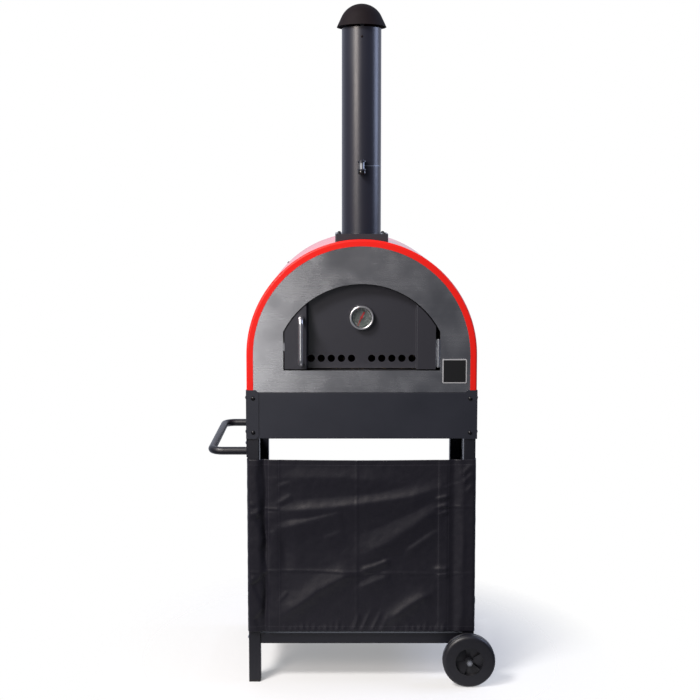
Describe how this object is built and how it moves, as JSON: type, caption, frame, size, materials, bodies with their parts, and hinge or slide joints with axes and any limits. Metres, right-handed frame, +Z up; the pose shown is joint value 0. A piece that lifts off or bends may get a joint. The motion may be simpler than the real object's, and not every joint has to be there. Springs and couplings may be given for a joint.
{
  "type": "pizza oven",
  "caption": "Arched wood-fired pizza oven with hinged door, thermometer, flue with damper and rain cap, on a steel stand with wheels, push handle and fabric cover.",
  "frame": {"origin": "centre of the footprint, on the floor", "axes": "+Z up, +X to the oven's right as seen from its door, +Y to its back"},
  "size_m": [0.7326, 0.5568, 1.727],
  "materials": {
    "stand_paint": "satin",
    "flue_paint": "satin",
    "shell_paint": "gloss",
    "plug_plastic": "matte",
    "zinc_steel": "satin",
    "bright_steel": "polished",
    "cover_fabric": "matte",
    "hub_plastic": "satin",
    "tyre_rubber": "matte",
    "fibre_board": "matte",
    "fibre_blanket": "matte",
    "fire_clay": "matte",
    "chamber_steel": "satin",
    "front_steel": "satin",
    "badge_metal": "satin",
    "dial_metal": "matte",
    "lens_glass": "gloss",
    "needle_paint": "satin",
    "knob_plastic": "gloss"
  },
  "bodies": {
    "oven_and_stand": {"leg_front_left": "stand_paint", "leg_rear_left": "stand_paint", "leg_front_right": "stand_paint", "leg_rear_right": "stand_paint", "leg_plugs": "plug_plastic", "lower_shelf": "stand_paint", "shelf_screws": "zinc_steel", "apron_front": "stand_paint", "apron_rear": "stand_paint", "apron_left": "stand_paint", "apron_right": "stand_paint", "bracket_front_left": "stand_paint", "bracket_rear_left": "stand_paint", "bracket_front_right": "stand_paint", "bracket_rear_right": "stand_paint", "bracket_screws": "stand_paint", "push_handle": "stand_paint", "push_handle_screws": "zinc_steel", "fabric_cover": "cover_fabric", "wheel_axle": "zinc_steel", "axle_spacers": "zinc_steel", "axle_nuts": "zinc_steel", "oven_base": "stand_paint", "floor_board": "fibre_board", "baking_stone_left": "fire_clay", "baking_stone_right": "fire_clay", "inner_chamber": "chamber_steel", "insulation_blanket": "fibre_blanket", "outer_shell": "shell_paint", "back_panel": "stand_paint", "back_panel_screws": "stand_paint", "front_plate": "front_steel", "door_jamb": "front_steel", "badge_plate": "badge_metal", "hinge_leaf_frame": "zinc_steel", "hinge_pin": "zinc_steel", "flue_collar": "flue_paint", "collar_screws": "flue_paint", "flue_pipe": "flue_paint", "damper_lugs": "bright_steel", "flue_cap": "flue_paint", "cap_straps": "flue_paint", "cap_rivets": "zinc_steel"},
    "door": {"door_panel": "stand_paint", "hinge_leaf_door": "zinc_steel", "door_handle": "bright_steel", "door_handle_screws": "zinc_steel", "thermometer_case": "bright_steel", "thermometer_dial": "dial_metal", "thermometer_lens": "lens_glass", "thermometer_nut": "zinc_steel"},
    "needle": {"thermometer_needle": "needle_paint"},
    "wheel_front": {"wheel_hub_front": "hub_plastic", "tyre_front": "tyre_rubber"},
    "wheel_rear": {"wheel_hub_rear": "hub_plastic", "tyre_rear": "tyre_rubber"},
    "damper": {"damper_plate": "zinc_steel", "damper_pivot": "zinc_steel", "damper_knob": "knob_plastic"}
  },
  "joints": [
    {"name": "door_hinge", "type": "hinge", "parent": "oven_and_stand", "child": "door", "pos_m": [0.21825, -0.2316, 0.8515], "axis": [0, 0, 1], "range_deg": [0, 120]},
    {"name": "needle_turn", "type": "hinge", "parent": "door", "child": "needle", "pos_m": [0.02575, -0.2081, 0.94], "axis": [0, 1, 0], "range_deg": [0, 300], "stiffness_Nm_per_rad": 0.001},
    {"name": "front_wheel_spin", "type": "hinge", "parent": "oven_and_stand", "child": "wheel_front", "pos_m": [0.29925, -0.25375, 0.067], "axis": [0, 1, 0], "continuous": true},
    {"name": "rear_wheel_spin", "type": "hinge", "parent": "oven_and_stand", "child": "wheel_rear", "pos_m": [0.29925, 0.20355, 0.067], "axis": [0, 1, 0], "continuous": true},
    {"name": "damper_swing", "type": "hinge", "parent": "oven_and_stand", "child": "damper", "pos_m": [0.02575, -0.2016, 1.3205], "axis": [0, 0, -1], "range_deg": [0, 120]}
  ]
}
